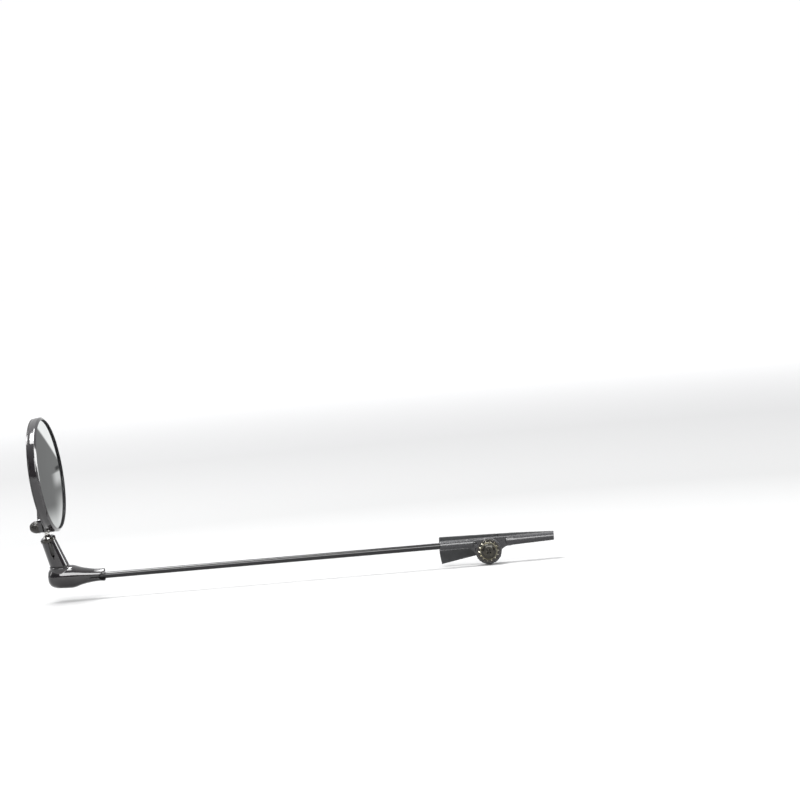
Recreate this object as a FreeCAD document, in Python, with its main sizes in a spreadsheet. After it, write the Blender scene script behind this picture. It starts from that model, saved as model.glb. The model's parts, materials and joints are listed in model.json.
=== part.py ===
import FreeCAD, Part
import math
import os
import Sketcher

# Helmet-mounted rear-view mirror: spring clip, pivoting rod, elbow, slotted
# ball-socket barrel and round mirror head.
# Frame: origin at the centre of the jaws' grip faces; +X along the rod towards
# the mirror, +Y outward from the helmet, +Z up. Millimetres.

V = FreeCAD.Vector
doc = FreeCAD.newDocument("helmet_mirror")
sheet = doc.addObject("Spreadsheet::Sheet", "dims")

SIZES = {
    # pivot between clip and arm
    "pivot_x": 24.1, "pivot_z": -4.4, "eye_rad": 6.6, "eye_back": 1.0, "eye_thick": 3.3,
    "disc_thick": 0.4, "disc_rad": 6.1, "holder_eye_thick": 3.2, "pivot_screw_rad": 1.5,
    "pivot_hole_rad": 1.55, "flat_washer_rad": 5.8, "flat_washer_thick": 0.5,
    "tooth_washer_rad": 4.5, "tooth_washer_thick": 0.5, "tooth_len": 0.75, "screw_head_rad": 3.9,
    "screw_head_thick": 2.0, "pivot_nut_flats": 5.5, "pivot_nut_thick": 1.8,
    # jaws
    "finger_end": -9.2, "finger_root": 15.0, "finger_tip_rad": 2.0, "finger_root_rad": 2.5,
    "finger_axis_y": 2.25, "pad_start": -8.8, "pad_end": 9.4, "pad_half": 1.9, "pad_thick": 0.97,
    "pad_gap": 0.03, "plate_front": -1.0, "plate_thick": 1.6, "pin_x": 19.5, "pin_y": -0.9,
    "pin_rad": 0.7, "pin_hole_rad": 0.74, "knuckle_rad": 1.6, "tail_bend_x": 23.0,
    "tail_len": 26.4, "tail_angle": 15.0,
    # arm
    "rod_y": 6.3, "rod_rad": 1.6, "rod_start": 30.0, "rod_end": 230.1, "sleeve_rad": 2.35,
    "sleeve_start": 31.4, "sleeve_end": 48.3,
    # elbow
    "elbow_x": 236.6, "elbow_lean": 10.0, "stem_angle": 17.05, "elbow_bore_rad": 1.63,
    "toe_end": -20.4, "toe_tip_rad": 3.2, "toe_waist_rad": 3.1, "toe_mid_rad": 4.5,
    "toe_root_rad": 5.45, "heel_rad": 5.9, "heel_end": 8.3, "shell_rise": 1.0, "shell_slope": 1.8,
    "swivel_x": 2.0, "collar_seat_rad": 5.15, "collar_seat_top": 7.02, "notch_len": 3.4,
    "notch_wide": 3.3,
    # barrel
    "barrel_low": 7.42, "barrel_low_rad": 4.65, "barrel_top": 23.1, "barrel_neck": 21.1,
    "barrel_neck_rad": 3.7, "collet_rad": 3.25, "collar_rad": 3.95, "collar_top": 22.75,
    "ball_at": 22.0, "ball_rad": 2.5, "socket_rad": 2.55, "barrel_bore_rad": 2.0,
    "slot_low": 11.6, "slot_wide": 2.0,
    # stud
    "stud_x": 7.2, "ball_drop": 31.9, "neck_rad": 1.25, "shank_rad": 1.5, "shank_low": -28.6,
    "shank_high": -21.6,
    # head
    "head_yaw": -7.5, "head_lean": 4.5, "head_rad": 28.85, "lip_open_rad": 27.45,
    "lip_thick": 0.8, "bezel_deep": 4.4, "bezel_wall": 0.9, "lens_rad": 27.8,
    "lens_curve": 600.0, "lens_front": 0.95, "lens_thick": 2.0, "lens_pad_rad": 25.5,
    "lens_pad_thick": 0.8, "dome_deep": 9.6, "dome_curve": 81.8, "dome_wall": 1.3,
    "boss_rad": 5.25, "boss_deep": 10.5, "lug_back": 9.6, "screw_side": 3.4, "screw_down": -25.0,
    "knob_rad": 3.1, "knob_deep": 4.4, "clamp_screw_rad": 1.2,
}
for row, (alias, value) in enumerate(SIZES.items(), start=1):
    sheet.set("A%d" % row, alias)
    sheet.set("B%d" % row, "%.6g" % value)
    sheet.setAlias("B%d" % row, alias)
doc.recompute()


class Dim:
    """A sheet cell, or arithmetic on cells: text for setExpression and its value."""

    def __init__(self, text, value):
        self.text, self.value = text, float(value)

    def _with(self, other, sign, value, flip=False):
        other = dim(other)
        a, b = (other, self) if flip else (self, other)
        return Dim("(%s %s %s)" % (a.text, sign, b.text), value(a.value, b.value))

    def __add__(self, o): return self._with(o, "+", lambda a, b: a + b)
    def __radd__(self, o): return self._with(o, "+", lambda a, b: a + b, True)
    def __sub__(self, o): return self._with(o, "-", lambda a, b: a - b)
    def __rsub__(self, o): return self._with(o, "-", lambda a, b: a - b, True)
    def __mul__(self, o): return self._with(o, "*", lambda a, b: a * b)
    def __rmul__(self, o): return self._with(o, "*", lambda a, b: a * b, True)
    def __truediv__(self, o): return self._with(o, "/", lambda a, b: a / b)
    def __neg__(self): return self._with(0, "-", lambda a, b: a - b, True)


def dim(x):
    return x if isinstance(x, Dim) else Dim("%.6f" % x, x)


class Cells:
    def __getattr__(self, alias):
        return Dim("dims." + alias, SIZES[alias])


D = Cells()


def bind(obj, **props):
    for prop, d in props.items():
        d = dim(d)
        setattr(obj, prop, d.value)
        if "dims." in d.text:
            obj.setExpression(prop, d.text)
    return obj


TURN = {"Z": FreeCAD.Rotation(), "X": FreeCAD.Rotation(V(0, 1, 0), 90),
        "Y": FreeCAD.Rotation(V(1, 0, 0), -90)}


def place(obj, at=(0, 0, 0), turn="Z"):
    """Put a primitive at a point given in cells, its own Z along the named axis."""
    at = [dim(c) for c in at]
    rot = TURN[turn] if isinstance(turn, str) else turn
    obj.Placement = FreeCAD.Placement(V(*[c.value for c in at]), rot)
    for letter, c in zip("xyz", at):
        if "dims." in c.text:
            obj.setExpression("Placement.Base." + letter, c.text)
    return obj


count = [0]


def fresh(kind):
    count[0] += 1
    return doc.addObject(kind, kind.split("::")[1] + "%03d" % count[0])


def cyl(r, height, at=(0, 0, 0), turn="Z"):
    return place(bind(fresh("Part::Cylinder"), Radius=r, Height=height), at, turn)


def cone(r1, r2, height, at=(0, 0, 0), turn="Z"):
    return place(bind(fresh("Part::Cone"), Radius1=r1, Radius2=r2, Height=height), at, turn)


def ball(r, at=(0, 0, 0)):
    return place(bind(fresh("Part::Sphere"), Radius=r), at)


def torus(r1, r2, at=(0, 0, 0), turn="Z"):
    return place(bind(fresh("Part::Torus"), Radius1=r1, Radius2=r2), at, turn)


def block(size, at=(0, 0, 0), turn="Z"):
    return place(bind(fresh("Part::Box"), Length=size[0], Width=size[1], Height=size[2]), at, turn)


def fuse(*objs):
    out = fresh("Part::MultiFuse")
    out.Shapes = list(objs)
    out.Refine = True
    return out


def cut(base, *tools):
    tool = tools[0]
    if len(tools) > 1:
        tool = fresh("Part::MultiFuse")
        tool.Shapes = list(tools)
    out = fresh("Part::Cut")
    out.Base, out.Tool = base, tool
    out.Refine = True
    return out


def common(a, b):
    out = fresh("Part::MultiCommon")
    out.Shapes = [a, b]
    return out


def rounded(base, radius, pick):
    """Part::Fillet on the edges that pick(edge) accepts."""
    doc.recompute()
    out = fresh("Part::Fillet")
    out.Base = base
    edges = [i for i, e in enumerate(base.Shape.Edges, start=1) if pick(e)]
    if not edges:
        raise RuntimeError("no edge to round on " + base.Name)
    out.Edges = [(i, radius, radius) for i in edges]
    return out


NODES = {}


def keep(label, obj, frame=None):
    """Name a finished sub-part and set it in its own frame."""
    obj.Label = label
    if frame is not None:
        obj.Placement = frame
    NODES[label] = obj
    return obj


def body(name):
    return doc.addObject("PartDesign::Body", name)


def sketch(owner, role, outline, name):
    """Closed outline in a plane of the body. Each vertex is (x, y) in cells; an
    entry ("arc", radius, side) between two vertices bends that edge, side +1 to
    the left of travel and -1 to the right."""
    sk = owner.newObject("Sketcher::SketchObject", name)
    sk.AttachmentSupport = [([f for f in owner.Origin.OriginFeatures if f.Role == role][0], "")]
    sk.MapMode = "FlatFace"
    verts, bends = [], {}
    for item in outline:
        if item[0] == "arc":
            bends[len(verts) - 1] = (dim(item[1]), item[2])
        else:
            verts.append((dim(item[0]), dim(item[1])))
    n = len(verts)
    ends = []
    for i in range(n):
        a = V(verts[i][0].value, verts[i][1].value, 0)
        b = V(verts[(i + 1) % n][0].value, verts[(i + 1) % n][1].value, 0)
        if i in bends:
            r, side = bends[i]
            half = (b - a) * 0.5
            left = V(-half.y, half.x, 0)
            left.normalize()
            reach = math.sqrt(max(r.value ** 2 - half.Length ** 2, 1e-9))
            centre = a + half + left * (reach * side)
            t0 = math.atan2(a.y - centre.y, a.x - centre.x)
            t1 = math.atan2(b.y - centre.y, b.x - centre.x)
            circle = Part.Circle(centre, V(0, 0, 1), r.value)
            if side > 0:      # counter-clockwise from a to b
                while t1 < t0: t1 += 2 * math.pi
                sk.addGeometry(Part.ArcOfCircle(circle, t0, t1), False)
                ends.append((1, 2))
            else:
                while t0 < t1: t0 += 2 * math.pi
                sk.addGeometry(Part.ArcOfCircle(circle, t1, t0), False)
                ends.append((2, 1))
        else:
            sk.addGeometry(Part.LineSegment(a, b), False)
            ends.append((1, 2))
    for i in range(n):
        sk.addConstraint(Sketcher.Constraint("Coincident", i, ends[i][1], (i + 1) % n, ends[(i + 1) % n][0]))
    for i, (x, y) in enumerate(verts):
        for letter, c, axis in (("X", x, -2), ("Y", y, -1)):
            if abs(c.value) < 1e-9:
                sk.addConstraint(Sketcher.Constraint("PointOnObject", i, ends[i][0], axis))
                continue
            k = sk.addConstraint(Sketcher.Constraint("Distance" + letter, -1, 1, i, ends[i][0], c.value))
            if "dims." in c.text:
                sk.renameConstraint(k, "v%d%s" % (i, letter.lower()))
                sk.setExpression("Constraints.v%d%s" % (i, letter.lower()), c.text)
    for i, (r, side) in bends.items():
        k = sk.addConstraint(Sketcher.Constraint("Radius", i, r.value))
        if "dims." in r.text:
            sk.renameConstraint(k, "bend%d" % i)
            sk.setExpression("Constraints.bend%d" % i, r.text)
    return sk


def spun(label, outline, frame=None):
    """A body of revolution about its own Z axis; outline in (radius, height)."""
    b = body(label)
    sk = sketch(b, "XZ_Plane", outline, label + "_outline")
    rev = b.newObject("PartDesign::Revolution", label + "_turn")
    rev.Profile = sk
    rev.ReferenceAxis = (sk, ["V_Axis"])
    rev.Angle = 360.0
    b.Tip = rev
    if frame is not None:
        b.Placement = frame
    return b


def plate(label, outline, thick, role="XZ_Plane", flip=False):
    """A flat plate padded from an outline."""
    b = body(label)
    sk = sketch(b, role, outline, label + "_outline")
    pad = b.newObject("PartDesign::Pad", label + "_pad")
    pad.Profile = sk
    pad.Reversed = flip
    bind(pad, Length=thick)
    b.Tip = pad
    return b


# ---------------------------------------------------------------- frames
S = SIZES
PIVOT = V(S["pivot_x"], 0, S["pivot_z"])
ALONG_X = FreeCAD.Rotation(V(0, 1, 0), 90)       # own Z to +X
ALONG_Y = FreeCAD.Rotation(V(1, 0, 0), -90)      # own Z to +Y, own Y to -Z
elbow_at = V(S["elbow_x"], S["rod_y"], 0)
elbow_turn = FreeCAD.Rotation(V(1, 0, 0), -S["elbow_lean"])
ELBOW = FreeCAD.Placement(elbow_at, elbow_turn)
stem_tilt = FreeCAD.Rotation(V(0, 1, 0), S["stem_angle"])
STEM = FreeCAD.Placement(elbow_at, elbow_turn.multiply(stem_tilt))
SWIVEL = FreeCAD.Placement(elbow_at + V(S["swivel_x"], 0, 0), elbow_turn)
stem_dir = STEM.Rotation.multVec(V(0, 0, 1))
ball_at = elbow_at + stem_dir * S["ball_at"]
head_turn = FreeCAD.Rotation(V(0, 0, 1), S["head_yaw"]).multiply(FreeCAD.Rotation(V(0, 1, 0), S["head_lean"]))
head_at = ball_at - head_turn.multVec(V(S["stud_x"], 0, -S["ball_drop"]))
HEAD = FreeCAD.Placement(head_at, head_turn)     # own X from the glass to the back
HEAD_SPUN = FreeCAD.Placement(head_at, head_turn.multiply(ALONG_X))   # own Z from the glass to the back

# ---------------------------------------------------------------- clip, outer jaw
# Round eye, tapering half-round finger, flat back and a gusset between them.
eye = cyl(D.eye_rad, D.eye_thick, (D.pivot_x, D.eye_back, D.pivot_z), "Y")
finger = cone(D.finger_tip_rad, D.finger_root_rad, D.finger_root - D.finger_end,
              (D.finger_end, D.finger_axis_y, -0.12), FreeCAD.Rotation(V(0, 1, 0), 90.9))
half_tip, half_root = S["finger_tip_rad"], S["finger_root_rad"]
back = plate("finger_back", [(D.finger_end, -D.finger_tip_rad - 0.12), (D.finger_root, -D.finger_root_rad - 0.5),
                             (D.finger_root, D.finger_root_rad - 0.5), (D.finger_end, D.finger_tip_rad - 0.12)],
             D.finger_axis_y - D.eye_back, flip=True)
place(back, (0, D.eye_back, 0), FreeCAD.Rotation())
# web that sweeps the finger's edges into the eye
web = plate("jaw_web", [(D.finger_root - 3.5, -D.finger_root_rad - 0.35),
                        ("arc", 6.0, -1), (D.pivot_x - 5.2, D.pivot_z - 4.0),
                        (D.pivot_x, D.pivot_z), (D.pivot_x, D.pivot_z + D.eye_rad - 0.02),
                        (D.finger_root - 3.5, D.finger_root_rad - 0.5)], D.eye_thick, flip=True)
place(web, (0, D.eye_back, 0), FreeCAD.Rotation())
# ears for the hinge pin, standing back from the eye
ear_low = fuse(cyl(D.knuckle_rad, 1.9, (D.pin_x, D.pin_y, -8.4)),
               block((D.knuckle_rad * 2, D.eye_back - D.pin_y + 0.6, 1.9),
                     (D.pin_x - D.knuckle_rad, D.pin_y, -8.4)))
ear_high = fuse(cyl(D.knuckle_rad, 1.9, (D.pin_x, D.pin_y, -0.6)),
                block((D.knuckle_rad * 2, D.eye_back - D.pin_y + 0.6, 1.9),
                      (D.pin_x - D.knuckle_rad, D.pin_y, -0.6)))
jaw = fuse(eye, finger, back, web, ear_low, ear_high)
doc.recompute()
nut_pocket = plate("jaw_nut_pocket", [
    (D.pivot_x + D.pivot_nut_flats * (math.cos(math.radians(60 * k)) / math.sqrt(3) * 1.012),
     D.pivot_z + D.pivot_nut_flats * (math.sin(math.radians(60 * k)) / math.sqrt(3) * 1.012))
    for k in range(6)], D.pivot_nut_thick + 0.02, flip=True)
place(nut_pocket, (0, D.eye_back - 0.02, 0), FreeCAD.Rotation())
# the finger is cut flat where the pad sits
jaw = cut(jaw, block((D.finger_root - D.finger_end + 2.4, 3.0, 9.0), (D.finger_end - 1.0, D.eye_back - 3.0, -4.5)),
          cyl(D.pivot_hole_rad, 8.0, (D.pivot_x, -1.0, D.pivot_z), "Y"), nut_pocket,
          cyl(D.pin_rad, 12.0, (D.pin_x, D.pin_y, -9.5)))
keep("outer_jaw", jaw)

# ---------------------------------------------------------------- grip pads, ribbed
def pad_with_ribs(y_face, inward, label):
    """Rubber pad whose grip face lies at y_face; shallow cross grooves in it."""
    length = D.pad_end - D.pad_start
    low = y_face if inward > 0 else y_face - D.pad_thick
    base = block((length, D.pad_thick, D.pad_half * 2), (D.pad_start, low, -D.pad_half))
    grooves = [block((0.6, 0.3, 6.0), (D.pad_start + 1.3 + 1.9 * k, y_face - 0.15, -3.0)) for k in range(9)]
    return keep(label, cut(base, *grooves))


pad_with_ribs(D.pad_gap, 1, "outer_grip_pad")
pad_with_ribs(-D.pad_gap, -1, "inner_grip_pad")

# ---------------------------------------------------------------- clip, inner jaw
# Flat finger plate, knuckles round the hinge pin, and a flared tail that
# diverges from the sleeve so that it can be squeezed towards it.
flat = plate("jaw_plate", [(D.finger_end - 0.2, -1.9), (D.finger_root - 3.0, -1.9), (D.finger_root, -2.0),
                           (D.pin_x - 2.5, -3.1), (D.pin_x - 1.6, -4.7), (D.pin_x - 1.6, -6.2),
                           (D.tail_bend_x + 0.5, -6.2), (D.tail_bend_x + 0.5, 3.3),
                           (D.finger_root - 5.0, 3.0), (D.finger_end - 0.2, 2.1)], D.plate_thick)
place(flat, (0, D.plate_front, 0), FreeCAD.Rotation())
tail = plate("jaw_tail", [(-0.6, -6.1), (D.tail_len * 0.25, -6.8), (D.tail_len - 0.7, -10.3),
                          ("arc", 40.0, 1), (D.tail_len - 0.3, 3.3), (-0.6, 3.3)], D.plate_thick)
place(tail, (D.tail_bend_x, D.plate_front, 0), FreeCAD.Rotation(V(0, 0, 1), -S["tail_angle"]))
ribs = []
for k in range(5):
    r = block((0.9, 0.7, 9.2 + 0.45 * k))
    base = FreeCAD.Placement(V(S["tail_bend_x"], S["plate_front"], 0), FreeCAD.Rotation(V(0, 0, 1), -S["tail_angle"]))
    local = FreeCAD.Placement(V(14.0 + 2.4 * k, -S["plate_thick"] - 0.5, -6.6 - 0.32 * k), FreeCAD.Rotation())
    r.Placement = base.multiply(local)
    ribs.append(r)
knuckle_a = fuse(cyl(D.knuckle_rad, 1.25, (D.pin_x, D.pin_y, -6.3)),
                 block((D.knuckle_rad * 2, 1.7, 1.25), (D.pin_x - D.knuckle_rad, D.pin_y - 1.7, -6.3)))
knuckle_b = fuse(cyl(D.knuckle_rad, 1.2, (D.pin_x, D.pin_y, -2.0)),
                 block((D.knuckle_rad * 2, 1.7, 1.2), (D.pin_x - D.knuckle_rad, D.pin_y - 1.7, -2.0)))
inner = fuse(flat, tail, *ribs)
inner = cut(inner, block((4.2, 5.0, 3.05), (D.pin_x - 2.1, D.pin_y - 2.5, -5.05)),   # room for the spring
            block((4.2, 5.0, 2.4), (D.pin_x - 2.1, D.pin_y - 2.5, -0.75)),           # window for the upper ear
            block((5.2, 5.0, 3.0), (D.pin_x - 2.6, D.pin_y - 2.5, -9.3)))            # lower ear
inner = fuse(inner, knuckle_a, knuckle_b)
inner = cut(inner, cyl(D.pin_hole_rad, 14.0, (D.pin_x, D.pin_y, -10.0)))
keep("inner_jaw", inner)

keep("jaw_pin", fuse(cyl(D.pin_rad, 10.1, (D.pin_x, D.pin_y, -8.6)),
                     cyl(1.1, 0.4, (D.pin_x, D.pin_y, -8.8))))

# torsion spring round the pin: five close turns with one leg along each jaw
wire_r, coil_r, pitch = 0.22, 1.12, 0.4
turns = [torus(coil_r, wire_r, (D.pin_x, D.pin_y, -4.75 + pitch * k)) for k in range(5)]
leg1 = cyl(wire_r, 4.1, (D.pin_x + coil_r, D.pin_y, -4.75), FreeCAD.Rotation(V(0, 0, 1), V(0.93, 0.37, 0)))
leg2 = cyl(wire_r, 6.0, (D.pin_x - coil_r, D.pin_y, -4.75 + pitch * 4),
           FreeCAD.Rotation(V(0, 0, 1), V(-0.985, 0.17, 0)))
keep("jaw_spring", fuse(*turns, leg1, leg2))

# ---------------------------------------------------------------- pivot stack
y1 = D.eye_back + D.eye_thick
keep("friction_disc", cut(cyl(D.disc_rad, D.disc_thick, (D.pivot_x, y1, D.pivot_z), "Y"),
                          cyl(D.pivot_hole_rad, 2.0, (D.pivot_x, y1 - 0.5, D.pivot_z), "Y")))
y2 = y1 + D.disc_thick
y3 = y2 + D.holder_eye_thick
keep("pivot_washer", cut(cyl(D.flat_washer_rad, D.flat_washer_thick, (D.pivot_x, y3, D.pivot_z), "Y"),
                         cyl(D.pivot_hole_rad, 2.0, (D.pivot_x, y3 - 0.5, D.pivot_z), "Y")))
y4 = y3 + D.flat_washer_thick
# external-tooth lock washer: ring with a polar pattern of teeth
lw = body("lock_washer")
ring_sk = lw.newObject("Sketcher::SketchObject", "washer_ring")
ring_sk.AttachmentSupport = [([f for f in lw.Origin.OriginFeatures if f.Role == "XY_Plane"][0], "")]
ring_sk.MapMode = "FlatFace"
for alias in ("tooth_washer_rad", "pivot_hole_rad"):
    g = ring_sk.addGeometry(Part.Circle(V(0, 0, 0), V(0, 0, 1), S[alias]), False)
    ring_sk.addConstraint(Sketcher.Constraint("Coincident", g, 3, -1, 1))
    k = ring_sk.addConstraint(Sketcher.Constraint("Radius", g, S[alias]))
    ring_sk.renameConstraint(k, alias)
    ring_sk.setExpression("Constraints." + alias, "dims." + alias)
ring_pad = lw.newObject("PartDesign::Pad", "washer_body")
ring_pad.Profile = ring_sk
bind(ring_pad, Length=D.tooth_washer_thick)
tooth_sk = sketch(lw, "XY_Plane", [(D.tooth_washer_rad - 0.3, -0.42), (D.tooth_washer_rad + D.tooth_len, -0.3),
                                   (D.tooth_washer_rad + D.tooth_len, 0.3), (D.tooth_washer_rad - 0.3, 0.42)], "tooth")
tooth = lw.newObject("PartDesign::Pad", "tooth_pad")
tooth.Profile = tooth_sk
bind(tooth, Length=D.tooth_washer_thick)
doc.recompute()
polar = lw.newObject("PartDesign::PolarPattern", "teeth")
polar.Originals = [tooth]
polar.Axis = (ring_sk, ["N_Axis"])
polar.Angle = 360.0
polar.Occurrences = 14
lw.Tip = polar
keep("lock_washer", place(lw, (D.pivot_x, y4, D.pivot_z), ALONG_Y))
y5 = y4 + D.tooth_washer_thick
# pan-head screw with a cross recess
head = spun("pivot_screw_turned", [(0, 0), (D.screw_head_rad - 0.2, 0), (D.screw_head_rad, 0.25),
                                   (D.screw_head_rad, 0.7), ("arc", 2.2, 1),
                                   (D.screw_head_rad - 1.5, D.screw_head_thick), (0, D.screw_head_thick)])
place(head, (D.pivot_x, y5, D.pivot_z), ALONG_Y)
shank = cyl(D.pivot_screw_rad, y5 - D.eye_back - 0.2 + 0.3, (D.pivot_x, D.eye_back + 0.2, D.pivot_z), "Y")
slot_a = block((3.9, 1.5, 0.75), (-1.95, -1.5, -0.375))
slot_b = block((0.75, 1.5, 3.9), (-0.375, -1.5, -1.95))
cross = fuse(slot_a, slot_b)
cross.Placement = FreeCAD.Placement(V(S["pivot_x"], (y5 + D.screw_head_thick).value + 0.1, S["pivot_z"]),
                                    FreeCAD.Rotation(V(0, 1, 0), 38))
keep("pivot_screw", cut(fuse(head, shank), cross))
# hexagon nut
nut = plate("pivot_nut_blank", [
    (D.pivot_nut_flats * (math.cos(math.radians(60 * k)) / math.sqrt(3)),
     D.pivot_nut_flats * (math.sin(math.radians(60 * k)) / math.sqrt(3))) for k in range(6)],
    D.pivot_nut_thick, flip=True)
place(nut, (D.pivot_x, D.eye_back, D.pivot_z), FreeCAD.Rotation())
keep("pivot_nut", cut(nut, cyl(D.pivot_screw_rad, 6.0, (D.pivot_x, D.eye_back - 1.0, D.pivot_z), "Y")))

# ---------------------------------------------------------------- arm
h_eye = cyl(D.eye_rad, D.holder_eye_thick, (D.pivot_x, y2, D.pivot_z), "Y")
sleeve = cyl(D.sleeve_rad, D.sleeve_end - D.sleeve_start, (D.sleeve_start, D.rod_y, 0), "X")
neck_in = cyl(D.sleeve_rad, D.sleeve_start - D.pivot_x + 0.5, (D.pivot_x, D.rod_y, 0), "X")
slab = block((14.0, D.holder_eye_thick, 14.0), (D.pivot_x - 1.0, y2, -8.0))
neck_flat = common(neck_in, slab)
h_web = plate("holder_web", [(D.pivot_x, D.pivot_z), (D.pivot_x + 5.75, D.pivot_z - 3.8), ("arc", 6.5, -1),
                             (D.sleeve_start + 3.0, -D.sleeve_rad + 0.12), (D.sleeve_start + 3.0, D.sleeve_rad - 0.12),
                             (D.pivot_x, D.pivot_z + D.eye_rad - 0.02)], D.holder_eye_thick - 0.6, flip=True)
place(h_web, (0, y2 + 0.3, 0), FreeCAD.Rotation())
holder = fuse(h_eye, sleeve, neck_flat, h_web)
holder = cut(holder, cyl(D.pivot_hole_rad, 8.0, (D.pivot_x, y2 - 1.0, D.pivot_z), "Y"),
             cyl(D.rod_rad, 40.0, (D.rod_start, D.rod_y, 0), "X"))
keep("rod_holder", holder)

rod = spun("arm_rod", [(0, 0), (D.rod_rad - 0.3, 0), (D.rod_rad, 0.3), (D.rod_rad, D.rod_end - D.rod_start - 0.3),
                       (D.rod_rad - 0.3, D.rod_end - D.rod_start), (0, D.rod_end - D.rod_start)])
keep("arm_rod", place(rod, (D.rod_start, D.rod_y, 0), ALONG_X))

# ---------------------------------------------------------------- elbow
# Own frame: x along the rod, z square to it, leaning outward. A long bullet,
# flaring from the split tip to a blunt heel, with a round seat for the stem.
boot_turned = spun("elbow_boot", [
    (0, D.toe_end), (D.toe_tip_rad - 0.4, D.toe_end), (D.toe_tip_rad, D.toe_end + 0.45),
    (D.toe_tip_rad, D.toe_end + 1.2), (D.toe_waist_rad, D.toe_end + 2.6), ("arc", 40.0, -1),
    (D.toe_mid_rad, D.toe_end + 12.0), (D.toe_root_rad, D.toe_end + 14.8), ("arc", 9.0, 1),
    (D.heel_rad - 0.05, D.toe_end + 17.8), (D.heel_rad, 1.5), ("arc", 12.0, 1), (D.heel_rad - 0.76, 5.7),
    ("arc", 4.0, 1), (D.heel_rad - 4.51, D.heel_end), (0, D.heel_end)])
boot_turned.Placement = FreeCAD.Placement(V(0, 0, S["shell_rise"]),
                                          FreeCAD.Rotation(V(0, 1, 0), 90.0 - S["shell_slope"]))
seat = fuse(cyl(D.collar_seat_rad, D.collar_seat_top - 0.55, (D.swivel_x, 0, 0)),
            cone(D.collar_seat_rad, D.collar_seat_rad - 0.45, 0.55, (D.swivel_x, 0, D.collar_seat_top - 0.55)))
boot = fuse(boot_turned, seat)
bore = cyl(D.elbow_bore_rad, D.rod_end - D.elbow_x - D.toe_end + 1.5,
           (D.toe_end - 1.0, 0, 0), "X")
screw_hole = cyl(1.25, 30.0, (D.swivel_x, 0, -10.0))
screw_sink = cyl(2.6, 6.85, (D.swivel_x, 0, -9.2))
# open notch on both sides of the tip, round-ended
notch = fuse(block((D.notch_len - D.notch_wide / 2 + 1.0, 16.0, D.notch_wide),
                   (D.toe_end - 1.0, -8.0, -D.notch_wide / 2)),
             cyl(D.notch_wide / 2, 16.0, (D.toe_end + D.notch_len - D.notch_wide / 2, -8.0, 0), "Y"))
# saw slit that lets the tip spring onto the rod
slit = block((9.0, 16.0, 0.5), (D.toe_end - 1.0, -8.0, -0.25))
keep("elbow_body", cut(boot, bore, screw_hole, screw_sink, notch, slit), ELBOW)

elbow_screw = spun("elbow_screw_turned", [(0, -4.2), (2.1, -4.2), (2.5, -3.85), (2.5, -2.4), (1.2, -2.4),
                                          (1.2, 10.8), (0, 10.8)])
hexa = plate("elbow_screw_hex", [(1.05 * math.cos(math.radians(60 * k)), 1.05 * math.sin(math.radians(60 * k)))
                                 for k in range(6)], 1.2, role="XY_Plane")
hexa.Placement = FreeCAD.Placement(V(0, 0, -4.3), FreeCAD.Rotation())
keep("elbow_screw", cut(elbow_screw, hexa), SWIVEL)
washer = cut(cyl(4.2, D.barrel_low - D.collar_seat_top - 0.04, (0, 0, D.collar_seat_top + 0.02)),
             cyl(1.25, 3.0, (0, 0, 5.6)))
keep("stem_washer", washer, SWIVEL)

# ---------------------------------------------------------------- barrel
cavity = D.ball_at + 0.8
mouth = math.sqrt(S["socket_rad"] ** 2 - 0.8 ** 2)
barrel = spun("barrel_turned", [
    (0, 3.4), (D.barrel_low_rad + 0.3, 3.4), (D.barrel_neck_rad, D.barrel_neck),
    (D.collet_rad, D.barrel_neck), (D.collet_rad, D.barrel_top), (mouth + 0.66, D.barrel_top),
    (mouth, D.ball_at + 0.8), (D.barrel_bore_rad, D.ball_at + 0.7), (D.barrel_bore_rad, 13.4),
    (0, 12.7)])
# tapered V-ended slots through the wall, one on each side, set slightly askew
def slot_tool(name):
    b = plate(name, [(-D.slot_wide * 0.5, 24.6), (-D.slot_wide * 0.42, D.slot_low + 3.0),
                     (0, D.slot_low), (D.slot_wide * 0.42, D.slot_low + 3.0), (D.slot_wide * 0.5, 24.6)], 8.0)
    return b


slot_near = slot_tool("slot_near")
slot_near.Placement = FreeCAD.Placement(V(0, 8.6, 0), FreeCAD.Rotation())
near = fuse(slot_near, block((0.01, 0.01, 0.01), (0, 6, 20)))
askew = FreeCAD.Rotation(V(0, 1, 0), -8.0)
pivot_pt = V(0, 0, 14.0)
near.Placement = FreeCAD.Placement(pivot_pt - askew.multVec(pivot_pt) + V(0.3, 0, 0), askew)
slot_far = slot_tool("slot_far")
slot_far.Placement = FreeCAD.Placement(V(0, 8.6, 0), FreeCAD.Rotation())
far = fuse(slot_far, block((0.01, 0.01, 0.01), (0, 6, 20)))
half_turn = FreeCAD.Placement(V(0, 0, 0), FreeCAD.Rotation(V(0, 0, 1), 180))
far.Placement = half_turn.multiply(near.Placement)
# the foot is sliced square to the swivel axis, so that it sits on the seat
slicer = block((40.0, 40.0, 20.0), (-20.0, -20.0, D.barrel_low - 20.0))
screw_bore = cyl(D.clamp_screw_rad, 21.0, (D.swivel_x, 0, -10.0))
foot_cut = fuse(slicer, screw_bore)
foot_cut.Placement = FreeCAD.Placement(V(0, 0, 0), stem_tilt.inverted())
barrel = cut(barrel, ball(D.socket_rad, (0, 0, D.ball_at)), near, far, foot_cut)
keep("stem_barrel", barrel, STEM)

# friction seat: a plastic plug with a cupped top that presses on the ball
seat_turned = spun("ball_seat_turned", [(0, 13.45), (D.barrel_bore_rad - 0.3, 13.45), (D.barrel_bore_rad - 0.02, 13.75),
                                        (D.barrel_bore_rad - 0.02, 20.25), (0, 20.25)])
keep("ball_seat", cut(seat_turned, ball(D.socket_rad, (0, 0, D.ball_at))), STEM)

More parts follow.
